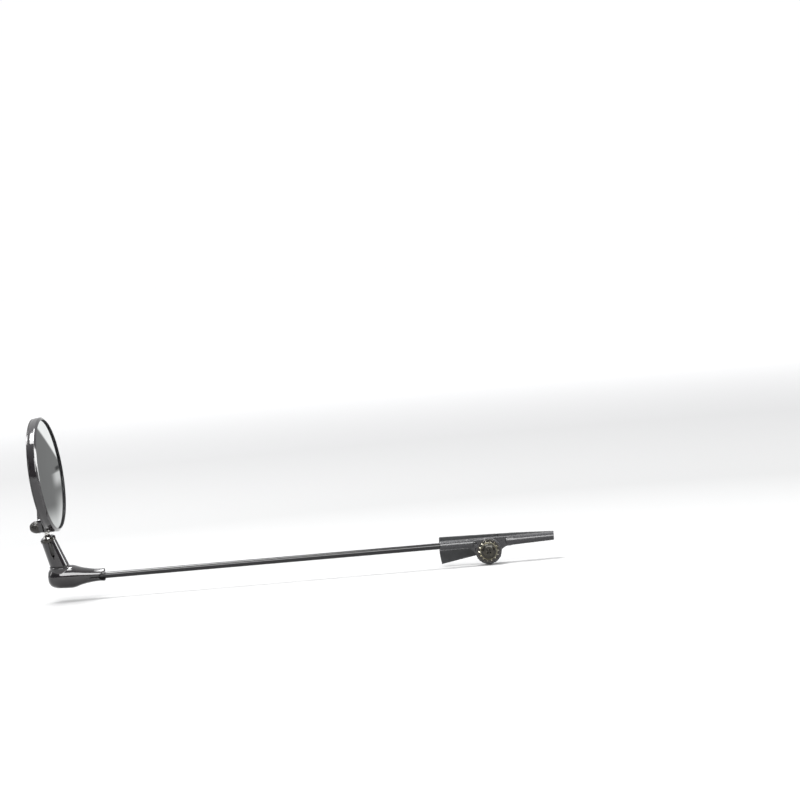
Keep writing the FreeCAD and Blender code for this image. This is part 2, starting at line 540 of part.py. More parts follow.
collar = spun("socket_collar", [(D.collet_rad, D.barrel_neck), (D.collar_rad - 0.2, D.barrel_neck),
                                (D.collar_rad, D.barrel_neck + 0.2), (D.collar_rad, D.collar_top - 0.55),
                                (D.collar_rad - 0.45, D.collar_top), (D.collet_rad, D.collar_top)])
keep("socket_collar", collar, STEM)

# ---------------------------------------------------------------- ball stud, in the head's frame
stud_ball = ball(D.ball_rad, (D.stud_x, 0, -D.ball_drop))
stud_neck = cyl(D.neck_rad, D.ball_drop + D.shank_low, (D.stud_x, 0, -D.ball_drop))
stud_cone = cone(D.neck_rad, D.shank_rad, 0.35, (D.stud_x, 0, D.shank_low - 0.35))
stud_shank = cyl(D.shank_rad, D.shank_high - D.shank_low - 0.3, (D.stud_x, 0, D.shank_low))
stud_end = cone(D.shank_rad, D.shank_rad - 0.3, 0.3, (D.stud_x, 0, D.shank_high - 0.3))
keep("ball_stud", fuse(stud_ball, stud_neck, stud_cone, stud_shank, stud_end), HEAD)

# ---------------------------------------------------------------- mirror head
bezel = spun("front_bezel", [
    (D.lip_open_rad, 0.25), (D.lip_open_rad + 0.25, 0), (D.head_rad - 0.7, 0), ("arc", 0.75, 1),
    (D.head_rad, 0.65), (D.head_rad - 0.02, D.bezel_deep - 0.3), (D.head_rad - 0.3, D.bezel_deep),
    (D.head_rad - D.bezel_wall, D.bezel_deep), (D.head_rad - D.bezel_wall, D.lip_thick),
    (D.lip_open_rad, D.lip_thick)])
keep("front_bezel", bezel, HEAD_SPUN)

sag = S["lens_curve"] - math.sqrt(S["lens_curve"] ** 2 - S["lens_rad"] ** 2)
lens = spun("mirror_lens", [(0, D.lens_front - sag), ("arc", D.lens_curve, 1), (D.lens_rad, D.lens_front),
                            (D.lens_rad, D.lens_front + D.lens_thick), (0, D.lens_front + D.lens_thick)])
keep("mirror_lens", lens, HEAD_SPUN)
pad_x = D.lens_front + D.lens_thick
keep("lens_pad", cyl(D.lens_pad_rad, D.lens_pad_thick), FreeCAD.Placement(
    head_at + head_turn.multVec(V(pad_x.value, 0, 0)), head_turn.multiply(ALONG_X)))

# domed shell: outer and inner caps, spigot ring, cross ribs, centre boss and stud lug
shell_x = pad_x + D.lens_pad_thick
outer_cap = common(ball(D.dome_curve, (D.dome_deep - D.dome_curve, 0, 0)),
                   cyl(D.head_rad - 0.15, 20.0, (D.bezel_deep, 0, 0), "X"))
skirt = cyl(D.head_rad - 0.15, 0.9, (D.bezel_deep, 0, 0), "X")
inner_cap = ball(D.dome_curve - D.dome_wall, (D.dome_deep - D.dome_curve, 0, 0))
hollow = common(inner_cap, cyl(D.head_rad - D.bezel_wall - 1.0, 20.0, (D.bezel_deep - 1.5, 0, 0), "X"))
spigot = cut(cyl(D.head_rad - D.bezel_wall - 0.15, 1.2, (D.bezel_deep - 1.0, 0, 0), "X"),
             cyl(D.head_rad - D.bezel_wall - 1.0, 3.0, (D.bezel_deep - 1.5, 0, 0), "X"))
rib_ring = cut(cyl(14.5, 12.0, (shell_x, 0, 0), "X"), cyl(13.5, 14.0, (shell_x - 1.0, 0, 0), "X"))
rib_a = block((12.0, 1.0, 55.0), (shell_x, -0.5, -27.5))
rib_b = block((12.0, 55.0, 1.0), (shell_x, -27.5, -0.5))
ribs = common(fuse(rib_ring, rib_a, rib_b),
              common(ball(D.dome_curve - 0.4, (D.dome_deep - D.dome_curve, 0, 0)),
                     cyl(D.head_rad - D.bezel_wall - 0.8, 20.0, (shell_x, 0, 0), "X")))
centre_boss = cone(D.boss_rad + 0.25, D.boss_rad - 0.35, D.boss_deep - D.dome_deep + 1.2, (D.dome_deep - 1.2, 0, 0), "X")
lug = block((D.lug_back - shell_x, 9.9, 7.8), (shell_x, -3.2, -28.7))
lug = rounded(lug, 1.6, lambda e: abs(e.tangentAt(e.FirstParameter).x) > 0.99 and e.CenterOfMass.z > -25)
lug = common(lug, fuse(cyl(D.head_rad - D.bezel_wall - 0.15, 30.0, (0, 0, 0), "X"),
                       cyl(D.head_rad - 0.35, 30.0, (D.bezel_deep, 0, 0), "X")))
shell = cut(fuse(outer_cap, skirt), hollow)
shell = fuse(shell, spigot, ribs, centre_boss, lug)
shell = cut(shell,
            cyl(D.shank_rad + 0.04, 20.0, (D.stud_x, 0, -41.0)),                 # running bore for the shank
            cyl(D.shank_rad + 0.04, 1.0, (D.stud_x, 0, -21.5)),
            cyl(D.clamp_screw_rad, 10.0, (shell_x + 0.5, D.screw_side, D.screw_down), "X"),
            block((0.5, 8.0, 10.0), (D.stud_x - 0.25, 0.6, -31.0)))              # pinch slit
keep("rear_shell", shell, HEAD)

wash = cut(cyl(D.knob_rad + 0.2, 0.4, (D.lug_back, D.screw_side, D.screw_down), "X"),
           cyl(D.clamp_screw_rad, 2.0, (D.lug_back - 1.0, D.screw_side, D.screw_down), "X"))
keep("clamp_washer", wash, HEAD)
knob = spun("clamp_screw_turned", [(0, 0), (D.knob_rad - 0.3, 0), (D.knob_rad, 0.3), (D.knob_rad, 1.5), ("arc", 3.6, 1),
                                   (1.2, D.knob_deep), (0, D.knob_deep)])
knob.Placement = FreeCAD.Placement(V(S["lug_back"] + 0.4, S["screw_side"], S["screw_down"]), ALONG_X)
knob_shank = cyl(D.clamp_screw_rad, D.lug_back - shell_x - 0.7, (shell_x + 0.6, D.screw_side, D.screw_down), "X")
knob_mid = cyl(D.clamp_screw_rad, 1.0, (D.lug_back - 0.3, D.screw_side, D.screw_down), "X")
drive = plate("clamp_drive", [(1.15 * math.cos(math.radians(60 * k)), 1.15 * math.sin(math.radians(60 * k)))
                              for k in range(6)], 2.0, role="YZ_Plane")
drive.Placement = FreeCAD.Placement(V(S["lug_back"] + S["knob_deep"] - 0.9, S["screw_side"], S["screw_down"]),
                                    FreeCAD.Rotation())
keep("clamp_screw", cut(fuse(knob, knob_shank, knob_mid), drive), HEAD)

# ---------------------------------------------------------------- check and write
doc.recompute()
for obj in doc.Objects:
    if "Invalid" in obj.State or "Error" in obj.State:
        raise RuntimeError("%s (%s) failed: %s" % (obj.Name, obj.Label, obj.State))
for label, obj in NODES.items():
    shape = obj.Shape
    if shape.isNull() or not shape.isValid() or not shape.Solids:
        raise RuntimeError("%s has no valid solid" % label)
os.makedirs("parts", exist_ok=True)
for label, obj in NODES.items():
    print("%-16s solids %d  volume %9.2f" % (label, len(obj.Shape.Solids), obj.Shape.Volume),
          [round(c, 2) for c in (obj.Shape.BoundBox.XMin, obj.Shape.BoundBox.XMax, obj.Shape.BoundBox.YMin,
                                 obj.Shape.BoundBox.YMax, obj.Shape.BoundBox.ZMin, obj.Shape.BoundBox.ZMax)])
    obj.Shape.exportStep("parts/%s.step" % label)
swing = stem_dir.cross(head_turn.multVec(V(0, 0, 1)))
rest_tilt = math.degrees(stem_dir.getAngle(head_turn.multVec(V(0, 0, 1))))
swing.normalize()
stud_dir = head_turn.multVec(V(0, 0, 1))
for name, vec in (("elbow_at", elbow_at), ("stem_dir", stem_dir), ("swivel_at", SWIVEL.Base),
                  ("swivel_dir", elbow_turn.multVec(V(0, 0, 1))), ("ball_at", ball_at), ("tilt_axis", swing),
                  ("stud_dir", stud_dir), ("head_at", head_at), ("glass_dir", head_turn.multVec(V(-1, 0, 0)))):
    print(name, [round(c, 5) for c in vec])
print("rest tilt %.2f degrees" % rest_tilt)
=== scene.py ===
import bpy, bmesh, math, json
import numpy as np
from mathutils import Vector, Matrix


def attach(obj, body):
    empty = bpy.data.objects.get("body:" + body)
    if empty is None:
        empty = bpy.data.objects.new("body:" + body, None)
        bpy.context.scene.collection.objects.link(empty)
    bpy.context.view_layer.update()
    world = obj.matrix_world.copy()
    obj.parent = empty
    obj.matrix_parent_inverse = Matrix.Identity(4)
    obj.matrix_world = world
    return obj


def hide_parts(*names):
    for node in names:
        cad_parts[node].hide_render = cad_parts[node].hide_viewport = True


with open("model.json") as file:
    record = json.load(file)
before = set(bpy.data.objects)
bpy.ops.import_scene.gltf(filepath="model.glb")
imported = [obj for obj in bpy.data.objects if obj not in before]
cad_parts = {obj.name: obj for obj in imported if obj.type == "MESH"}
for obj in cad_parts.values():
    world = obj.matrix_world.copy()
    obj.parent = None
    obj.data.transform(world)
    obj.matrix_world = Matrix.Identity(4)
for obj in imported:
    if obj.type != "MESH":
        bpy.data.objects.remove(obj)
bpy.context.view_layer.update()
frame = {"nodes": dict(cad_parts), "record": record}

MM = 0.001
ROOM_DARK = 0.14
NEAR_FLOOR_SHADE = 0.36
NODES = frame["nodes"]
BODY = {n: b for b, ns in frame["record"]["behaviour"]["bodies"].items() for n in ns}
SLOT = {p["node"]: p["material_slot"] for p in frame["record"]["subparts"]}


# ------------------------------------------------------------------ frames (mm, as in the CAD model)
def rot(axis, deg):
    return Matrix.Rotation(math.radians(deg), 4, axis)


def at(x, y, z):
    return Matrix.Translation((x, y, z))


ALONG_X = rot("Y", 90)
ALONG_Y = rot("X", -90)
PIVOT = at(24.1, 0, -4.4) @ ALONG_Y
ELBOW_AT = Vector((236.6, 6.3, 0.0))
ELBOW = Matrix.Translation(ELBOW_AT) @ rot("X", -10.0)
SWIVEL = ELBOW @ at(2.0, 0, 0)
STEM = ELBOW @ rot("Y", 17.05)
HEAD_TURN = rot("Z", -7.5) @ rot("Y", 4.5)
BALL_AT = STEM @ Vector((0, 0, 22.0))
HEAD_AT = BALL_AT - HEAD_TURN.to_3x3() @ Vector((7.2, 0, -31.9))
HEAD = Matrix.Translation(HEAD_AT) @ HEAD_TURN
HEAD_SPUN = HEAD @ ALONG_X


# ------------------------------------------------------------------ mesh helpers
def link(ob):
    bpy.context.scene.collection.objects.link(ob)
    return ob


def drop(ob):
    me = ob.data
    bpy.data.objects.remove(ob)
    if me.users == 0:
        bpy.data.meshes.remove(me)


def fillet(pts, radii, closed, n=6):
    """Round the corners of a 2-D outline; radii gives one radius for each vertex."""
    out = []
    m = len(pts)
    for i, p in enumerate(pts):
        r = radii[i] if isinstance(radii, (list, tuple)) else radii
        if r <= 0 or (not closed and i in (0, m - 1)):
            out.append(p)
            continue
        a, b = Vector(pts[i - 1]), Vector(pts[(i + 1) % m])
        q = Vector(p)
        u, v = (a - q), (b - q)
        lu, lv = u.length, v.length
        if lu < 1e-9 or lv < 1e-9:
            out.append(p)
            continue
        u, v = u / lu, v / lv
        ang = math.acos(max(-1, min(1, u.dot(v))))
        if ang > math.pi - 0.02:
            out.append(p)
            continue
        t = min(r / math.tan(ang / 2), lu * 0.46, lv * 0.46)
        rr = t * math.tan(ang / 2)
        c = q + (u + v).normalized() * (rr / math.sin(ang / 2))
        s, e = q + u * t - c, q + v * t - c
        sweep = math.atan2(s.x * e.y - s.y * e.x, s.dot(e))
        for k in range(n + 1):
            f = sweep * k / n
            out.append((c.x + s.x * math.cos(f) - s.y * math.sin(f), c.y + s.x * math.sin(f) + s.y * math.cos(f)))
    return out


def split(pts, longest, closed=False):
    """Divide long runs, so that bumps and wear have points to sit on."""
    out = []
    for i, p in enumerate(pts):
        out.append(p)
        if not closed and i == len(pts) - 1:
            break
        q = pts[(i + 1) % len(pts)]
        d = math.dist(p, q)
        k = int(d // longest)
        for j in range(1, k + 1):
            f = j / (k + 1)
            out.append((p[0] + (q[0] - p[0]) * f, p[1] + (q[1] - p[1]) * f))
    return out


def arc(cx, cy, r, a0, a1, n):
    return [(cx + r * math.cos(math.radians(a0 + (a1 - a0) * k / n)),
             cy + r * math.sin(math.radians(a0 + (a1 - a0) * k / n))) for k in range(n + 1)]


def mesh(name, verts, faces):
    me = bpy.data.meshes.new(name)
    me.from_pydata([tuple(v) for v in verts], [], faces)
    bm = bmesh.new()
    bm.from_mesh(me)
    bmesh.ops.remove_doubles(bm, verts=bm.verts, dist=1e-5)
    bmesh.ops.recalc_face_normals(bm, faces=bm.faces)
    bm.to_mesh(me)
    bm.free()
    return link(bpy.data.objects.new(name, me))


def lathe(name, prof, closed=False, seg=96, ripple=None):
    """Turn an outline of (radius, height) about Z, in mm. ripple(radius, height, angle) may move the radius."""
    verts, rings = [], []
    for r, z in prof:
        if r < 1e-6:
            rings.append([len(verts)])
            verts.append((0, 0, z))
        else:
            ring = []
            for k in range(seg):
                a = 2 * math.pi * k / seg
                rr = ripple(r, z, a) if ripple else r
                ring.append(len(verts))
                verts.append((rr * math.cos(a), rr * math.sin(a), z))
            rings.append(ring)
    faces = []
    pairs = list(zip(rings, rings[1:] + ([rings[0]] if closed else [])))
    if not closed:
        pairs = pairs[:len(rings) - 1]
    for a, b in pairs:
        if len(a) == 1 and len(b) == 1:
            continue
        for k in range(seg):
            j = (k + 1) % seg
            if len(a) == 1:
                faces.append((a[0], b[k], b[j]))
            elif len(b) == 1:
                faces.append((a[k], b[0], a[j]))
            else:
                faces.append((a[k], b[k], b[j], a[j]))
    return mesh(name, verts, faces)


def prism(name, outline, low, high, bevel=0.0, seg=3):
    """Extrude a 2-D outline (x, y) from z low to z high, edges rounded."""
    n = len(outline)
    verts = [(x, y, low) for x, y in outline] + [(x, y, high) for x, y in outline]
    faces = [tuple(range(n - 1, -1, -1)), tuple(range(n, 2 * n))]
    faces += [(i, (i + 1) % n, n + (i + 1) % n, n + i) for i in range(n)]
    ob = mesh(name, verts, faces)
    if bevel:
        baked(ob, lambda o: _bevel(o, bevel, seg))
    return ob


def _bevel(o, width, seg=3, angle=40):
    m = o.modifiers.new("edge", "BEVEL")
    m.width, m.segments, m.limit_method, m.angle_limit = width, seg, "ANGLE", math.radians(angle)
    m.harden_normals = False


def baked(ob, setup):
    """Apply the modifiers that setup(ob) adds."""
    setup(ob)
    dg = bpy.context.evaluated_depsgraph_get()
    dg.update()
    me = bpy.data.meshes.new_from_object(ob.evaluated_get(dg))
    old = ob.data
    ob.modifiers.clear()
    ob.data = me
    if old.users == 0:
        bpy.data.meshes.remove(old)
    return ob


def boolean(ob, tool, how="DIFFERENCE", keep=False):
    def setup(o):
        m = o.modifiers.new("b", "BOOLEAN")
        m.object, m.operation, m.solver = tool, how, "EXACT"
    baked(ob, setup)
    if not keep:
        drop(tool)
    return ob


def moved(ob, m):
    ob.data.transform(m)
    return ob


def joined(name, *obs):
    bm = bmesh.new()
    for o in obs:
        bm.from_mesh(o.data)
    me = bpy.data.meshes.new(name)
    bm.to_mesh(me)
    bm.free()
    out = link(bpy.data.objects.new(name, me))
    for o in obs:
        drop(o)
    return out


def cad_copy(name, node):
    """A closed copy of a CAD node's mesh, in mm."""
    me = NODES[node].data.copy()
    me.transform(Matrix.Scale(1000.0, 4))
    bm = bmesh.new()
    bm.from_mesh(me)
    bmesh.ops.remove_doubles(bm, verts=bm.verts, dist=2e-4)
    bm.to_mesh(me)
    bm.free()
    me.materials.clear()
    return link(bpy.data.objects.new(name, me))


def softened(ob, voxel, times, factor=0.5):
    """Voxel remesh and smooth: every edge and inside corner gets a small moulded radius."""
    def setup(o):
        r = o.modifiers.new("r", "REMESH")
        r.mode, r.voxel_size, r.adaptivity = "VOXEL", voxel, 0.0
        s = o.modifiers.new("s", "SMOOTH")
        s.factor, s.iterations = factor, times
    return baked(ob, setup)


def finish_mesh(ob, sharp=38):
    """mm to metres, smooth shading, and a wear attribute from the convex curvature."""
    me = ob.data
    me.transform(Matrix.Scale(MM, 4))
    me.polygons.foreach_set("use_smooth", [True] * len(me.polygons))
    me.update()
    if sharp:
        me.set_sharp_from_angle(angle=math.radians(sharp))
    nv = len(me.vertices)
    co = np.empty(nv * 3); me.vertices.foreach_get("co", co); co = co.reshape(-1, 3)
    no = np.empty(nv * 3); me.vertices.foreach_get("normal", no); no = no.reshape(-1, 3)
    ed = np.empty(len(me.edges) * 2, int); me.edges.foreach_get("vertices", ed); ed = ed.reshape(-1, 2)
    d = co[ed[:, 1]] - co[ed[:, 0]]
    l2 = np.maximum((d * d).sum(1), 1e-14)
    c0 = -(no[ed[:, 0]] * d).sum(1) / l2 * 2
    c1 = (no[ed[:, 1]] * d).sum(1) / l2 * 2
    acc, cnt = np.zeros(nv), np.zeros(nv)
    np.add.at(acc, ed[:, 0], c0); np.add.at(acc, ed[:, 1], c1)
    np.add.at(cnt, ed[:, 0], 1); np.add.at(cnt, ed[:, 1], 1)
    k = acc / np.maximum(cnt, 1)
    t = np.clip((k - 900.0) / 3200.0, 0, 1)
    t = t * t * (3 - 2 * t)
    for _ in range(2):
        s = np.zeros(nv); np.add.at(s, ed[:, 0], t[ed[:, 1]]); np.add.at(s, ed[:, 1], t[ed[:, 0]])
        t = 0.5 * t + 0.5 * s / np.maximum(cnt, 1)
    a = me.attributes.new("wear", "FLOAT", "POINT")
    a.data.foreach_set("value", t.astype(np.float32))
    return ob


# ------------------------------------------------------------------ materials
def material(name, base, rough, *, metallic=0.0, ior=1.5, coat=0.0, coat_rough=0.04, vary=0.18, vary_scale=260.0,
             tint=(1.0, 1.0, 1.0), grain=2600.0, grain_up=0.00002, wave=160.0, wave_up=0.0, rough_vary=0.10,
             wear=None, wear_share=0.5, wear_rough=0.35, wear_metal=None, dust=0.0, streak=None, speck=0.0,
             sheen=0.0):
    """A procedural finish. Lengths are in metres: grain_up and wave_up are the heights of the bumps."""
    m = bpy.data.materials.new(name)
    m.use_nodes = True
    nt = m.node_tree
    N, L = nt.nodes, nt.links
    p = N["Principled BSDF"]
    p.inputs["Metallic"].default_value = metallic
    p.inputs["IOR"].default_value = ior
    p.inputs["Coat Weight"].default_value = coat
    p.inputs["Coat Roughness"].default_value = coat_rough
    p.inputs["Sheen Weight"].default_value = sheen
    tc = N.new("ShaderNodeTexCoord")

    def noise(scale, detail=3.0, roughness=0.55, stretch=None, shift=0.0):
        n = N.new("ShaderNodeTexNoise")
        n.inputs["Scale"].default_value = scale
        n.inputs["Detail"].default_value = detail
        n.inputs["Roughness"].default_value = roughness
        mp = N.new("ShaderNodeMapping")
        mp.inputs["Location"].default_value = (shift, shift * 0.7, -shift)
        if stretch:
            mp.inputs["Scale"].default_value = stretch
        L.new(tc.outputs["Object"], mp.inputs["Vector"])
        L.new(mp.outputs["Vector"], n.inputs["Vector"])
        return n.outputs["Fac"]

    def ramp(src, lo, hi, a=0.0, b=1.0):
        n = N.new("ShaderNodeMapRange")
        n.interpolation_type = "SMOOTHSTEP"
        n.inputs["From Min"].default_value, n.inputs["From Max"].default_value = lo, hi
        n.inputs["To Min"].default_value, n.inputs["To Max"].default_value = a, b
        L.new(src, n.inputs["Value"])
        return n.outputs["Result"]

    def math_(op, a, b):
        n = N.new("ShaderNodeMath")
        n.operation = op
        for i, v in enumerate((a, b)):
            if isinstance(v, (int, float)):
                n.inputs[i].default_value = v
            else:
                L.new(v, n.inputs[i])
        return n.outputs[0]

    def mix(fac, a, b):
        n = N.new("ShaderNodeMix")
        n.data_type = "RGBA"
        for sock, v in ((n.inputs["Factor"], fac), (n.inputs[6], a), (n.inputs[7], b)):
            if isinstance(v, (int, float)):
                sock.default_value = v
            elif isinstance(v, tuple):
                sock.default_value = (*v, 1.0)
            else:
                L.new(v, sock)
        return n.outputs[2]

    broad = noise(vary_scale, 4.0, 0.6)
    lo = tuple(c * (1 - vary) for c in base)
    hi = tuple(min(c * (1 + vary) * t, 1.0) for c, t in zip(base, tint))
    colour = mix(ramp(broad, 0.3, 0.7), lo, hi)
    rough_src = ramp(noise(vary_scale * 2.3, 3.0, 0.6, shift=0.37), 0.25, 0.75,
                     max(rough - rough_vary * 0.5, 0.005), rough + rough_vary * 0.5)
    if speck:
        dots = ramp(noise(3800.0, 1.0, 0.4, shift=0.11), 0.70, 0.76)
        colour = mix(math_("MULTIPLY", dots, speck), colour, tuple(min(1.0, c * 3 + 0.05) for c in base))
    metal_src = None
    if wear is not None:
        at_ = N.new("ShaderNodeAttribute")
        at_.attribute_name = "wear"
        patch = ramp(noise(900.0, 5.0, 0.68, shift=0.81), 0.5 - 0.22 * wear_share, 0.62)
        worn = math_("MULTIPLY", ramp(at_.outputs["Fac"], 0.12, 0.75), patch)
        worn = math_("MULTIPLY", worn, wear_share)
        colour = mix(worn, colour, wear)
        n = N.new("ShaderNodeMix")
        n.data_type = "FLOAT"
        L.new(worn, n.inputs["Factor"]); L.new(rough_src, n.inputs[2]); n.inputs[3].default_value = wear_rough
        rough_src = n.outputs[0]
        if wear_metal is not None:
            n = N.new("ShaderNodeMix")
            n.data_type = "FLOAT"
            L.new(worn, n.inputs["Factor"]); n.inputs[2].default_value = metallic; n.inputs[3].default_value = wear_metal
            metal_src = n.outputs[0]
    if dust:
        geo = N.new("ShaderNodeNewGeometry")
        sep = N.new("ShaderNodeSeparateXYZ")
        L.new(geo.outputs["Normal"], sep.inputs[0])
        top = ramp(sep.outputs["Z"], 0.2, 0.95)
        fleck = ramp(noise(1500.0, 4.0, 0.7, shift=0.53), 0.48, 0.72)
        d = math_("MULTIPLY", math_("MULTIPLY", top, fleck), dust)
        colour = mix(d, colour, (0.32, 0.31, 0.29))
        rough_src = math_("ADD", rough_src, math_("MULTIPLY", d, 0.35))
    L.new(colour, p.inputs["Base Color"])
    L.new(rough_src, p.inputs["Roughness"])
    if metal_src is not None:
        L.new(metal_src, p.inputs["Metallic"])
    normal = None
    if wave_up:
        b = N.new("ShaderNodeBump")
        b.inputs["Distance"].default_value = wave_up
        b.inputs["Strength"].default_value = 1.0
        L.new(noise(wave, 2.0, 0.5, shift=0.21), b.inputs["Height"])
        normal = b.outputs["Normal"]
    if streak:
        b = N.new("ShaderNodeBump")
        b.inputs["Distance"].default_value = streak[1]
        b.inputs["Strength"].default_value = 1.0
        L.new(noise(streak[0], 4.0, 0.7, stretch=streak[2], shift=0.67), b.inputs["Height"])
        if normal is not None:
            L.new(normal, b.inputs["Normal"])
        normal = b.outputs["Normal"]
    if grain_up:
        b = N.new("ShaderNodeBump")
        b.inputs["Distance"].default_value = grain_up
        b.inputs["Strength"].default_value = 1.0
        L.new(noise(grain, 3.0, 0.6, shift=0.05), b.inputs["Height"])
        if normal is not None:
            L.new(normal, b.inputs["Normal"])
        normal = b.outputs["Normal"]
    if normal is not None:
        L.new(normal, p.inputs["Normal"])
    return m


MAT = {
    "clip_plastic": material("clip_plastic", (0.011, 0.011, 0.0125), 0.27, vary=0.22, vary_scale=220.0,
                             tint=(1.0, 0.98, 1.03), grain=4200.0, grain_up=0.000004, wave=420.0, wave_up=0.000006,
                             rough_vary=0.07, wear=(0.11, 0.11, 0.115), wear_share=0.45, wear_rough=0.45, dust=0.06,
                             coat=0.25, coat_rough=0.22),
    "tail_plastic": material("tail_plastic", (0.016, 0.017, 0.018), 0.5, vary=0.2, vary_scale=240.0,
                             grain=3600.0, grain_up=0.000014, rough_vary=0.12, wear=(0.09, 0.09, 0.095),
                             wear_share=0.5, wear_rough=0.5, dust=0.08),
    "gloss_black": material("gloss_black", (0.0075, 0.007, 0.008), 0.085, vary=0.25, vary_scale=150.0,
                            tint=(1.08, 0.98, 0.98), grain=5200.0, grain_up=0.000002, wave=330.0, wave_up=0.000012,
                            rough_vary=0.06, wear=(0.075, 0.075, 0.08), wear_share=0.35, wear_rough=0.25, dust=0.025,
                            coat=0.5, coat_rough=0.03),
    "lip_dull": material("lip_dull", (0.006, 0.006, 0.007), 0.62, ior=1.3, vary=0.2, vary_scale=300.0, grain=4200.0,
                         grain_up=0.000006, rough_vary=0.06, wear=(0.03, 0.03, 0.03), wear_share=0.2, dust=0.0),
    "rod_paint": material("rod_paint", (0.004, 0.004, 0.0045), 0.10, ior=1.38, vary=0.2, vary_scale=190.0, grain=5200.0,
                          grain_up=0.000003, wave=900.0, wave_up=0.000006, rough_vary=0.08, coat=0.15,
                          coat_rough=0.05, dust=0.05, speck=0.25),
    "black_screw": material("black_screw", (0.014, 0.013, 0.012), 0.2, metallic=0.2, vary=0.3, vary_scale=700.0,
                            tint=(1.1, 1.02, 0.85), grain=6000.0, grain_up=0.000004, rough_vary=0.12,
                            wear=(0.30, 0.29, 0.26), wear_share=0.4, wear_rough=0.28, wear_metal=0.95),
    "screw_worn": material("screw_worn", (0.020, 0.019, 0.016), 0.2, metallic=0.4, vary=0.35, vary_scale=900.0,
                           tint=(1.1, 1.04, 0.85), grain=6000.0, grain_up=0.000005, rough_vary=0.14,
                           wear=(0.62, 0.60, 0.54), wear_share=1.0, wear_rough=0.22, wear_metal=1.0),
    "zinc_steel": material("zinc_steel", (0.095, 0.090, 0.066), 0.28, metallic=1.0, vary=0.3, vary_scale=800.0,
                           tint=(1.0, 0.95, 0.8), grain=6500.0, grain_up=0.000004, rough_vary=0.2,
                           wear=(0.55, 0.53, 0.46), wear_share=0.6, wear_rough=0.2),
    "spring_steel": material("spring_steel", (0.42, 0.42, 0.43), 0.28, metallic=1.0, vary=0.2, vary_scale=900.0,
                             grain=6500.0, grain_up=0.000003, rough_vary=0.16, wear=(0.7, 0.7, 0.7),
                             wear_share=0.4, wear_rough=0.2),
    "bright_steel": material("bright_steel", (0.52, 0.51, 0.49), 0.16, metallic=1.0, vary=0.12, vary_scale=500.0,
                             grain=6500.0, grain_up=0.000002, rough_vary=0.12,
                             streak=(500.0, 0.000003, (1.0, 1.0, 9.0)), wear=(0.75, 0.74, 0.72), wear_share=0.4,
                             wear_rough=0.14),
    "acetal": material("acetal", (0.045, 0.044, 0.042), 0.45, vary=0.15, grain=3000.0, grain_up=0.000006,
                       wear=(0.13, 0.13, 0.13), wear_share=0.4),
    "grip_rubber": material("grip_rubber", (0.021, 0.021, 0.021), 0.78, vary=0.25, vary_scale=500.0, grain=3800.0,
                            grain_up=0.00003, rough_vary=0.12, wear=(0.075, 0.075, 0.072), wear_share=0.6,
                            wear_rough=0.85, dust=0.2, speck=0.2, sheen=0.15),
    "foam": material("foam", (0.05, 0.05, 0.052), 0.9, vary=0.3, vary_scale=900.0, grain=2200.0, grain_up=0.00012,
                     wave=900.0, wave_up=0.00008, rough_vary=0.08, sheen=0.2),
    "mirror_glass": material("mirror_glass", (0.86, 0.885, 0.885), 0.022, metallic=1.0, vary=0.02, vary_scale=60.0,
                             tint=(1.0, 1.01, 1.0), grain=900.0, grain_up=0.0, wave=30.0, wave_up=0.0,
                             rough_vary=0.018, dust=0.0),
    "glass_back": material("glass_back", (0.10, 0.105, 0.11), 0.45, vary=0.2, vary_scale=300.0, grain=2500.0,
                           grain_up=0.00001, wear=(0.35, 0.38, 0.37), wear_share=0.5),
}


def piece(ob, node, mat=None, stands=True, body=None, sharp=38):
    """Finish a mesh built in mm and hang it on its node's body."""
    finish_mesh(ob, sharp)
    ob.data.materials.clear()
    ob.data.materials.append(MAT[mat or SLOT[node]])
    if stands:
        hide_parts(node)
    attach(ob, body or BODY[node])
    return ob


# ------------------------------------------------------------------ mirror head
# rim: rolled lip, flat band and a parting step
rim = fillet([(27.45, 0.8), (27.45, 0.12), (27.56, 0.02), (28.82, 0.92), (28.85, 1.2),
              (28.85, 3.0), (28.62, 4.4), (27.95, 4.4), (27.95, 0.8)],
             [0.12, 0.06, 0.06, 0.14, 0.1, 1.6, 0.14, 0.12, 0.1], True, 8)
band = piece(moved(lathe("rim_band", split(rim, 0.6, True), True, 256), HEAD_SPUN), "front_bezel", sharp=60)
band.data.materials.append(MAT["lip_dull"])
for f in band.data.polygons:
    c = HEAD_SPUN.inverted() @ (f.center / MM)
    f.material_index = 1 if math.hypot(c.x, c.y) < 27.5 and c.z < 0.86 else 0

# convex glass: mirror face, ground edge, painted back
sag = 600.0 - math.sqrt(600.0 ** 2 - 27.8 ** 2)
face = [(0.0, 0.95 - sag)]
for k in range(1, 41):
    r = 27.8 * k / 40
    face.append((r, 0.95 - sag + 600.0 - math.sqrt(600.0 ** 2 - r * r)))
glass_prof = face + [(27.8, 1.05), (27.8, 2.85), (27.7, 2.95), (14.0, 2.95), (0.0, 2.95)]
glass = moved(lathe("glass_disc", glass_prof, False, 256), HEAD_SPUN)
piece(glass, "mirror_lens", sharp=25)
glass.data.materials.append(MAT["glass_back"])
front = (HEAD_TURN.to_3x3() @ Vector((-1, 0, 0)))
for f in glass.data.polygons:
    f.material_index = 0 if f.normal.dot(front) > 0.9 else 1

pad = fillet([(0, 2.95), (25.5, 2.95), (25.5, 3.75), (0, 3.75)], [0, 0.3, 0.3, 0], False, 5)
piece(moved(lathe("backing_foam", split(pad, 1.5), False, 128), HEAD_SPUN), "lens_pad")

# domed shell with a raised hub, a fine concentric step and an inner wall
DOME_R, DOME_D = 81.8, 9.6


def dome(r, off=0.0):
    return DOME_D - off - DOME_R + math.sqrt((DOME_R) ** 2 - r * r)


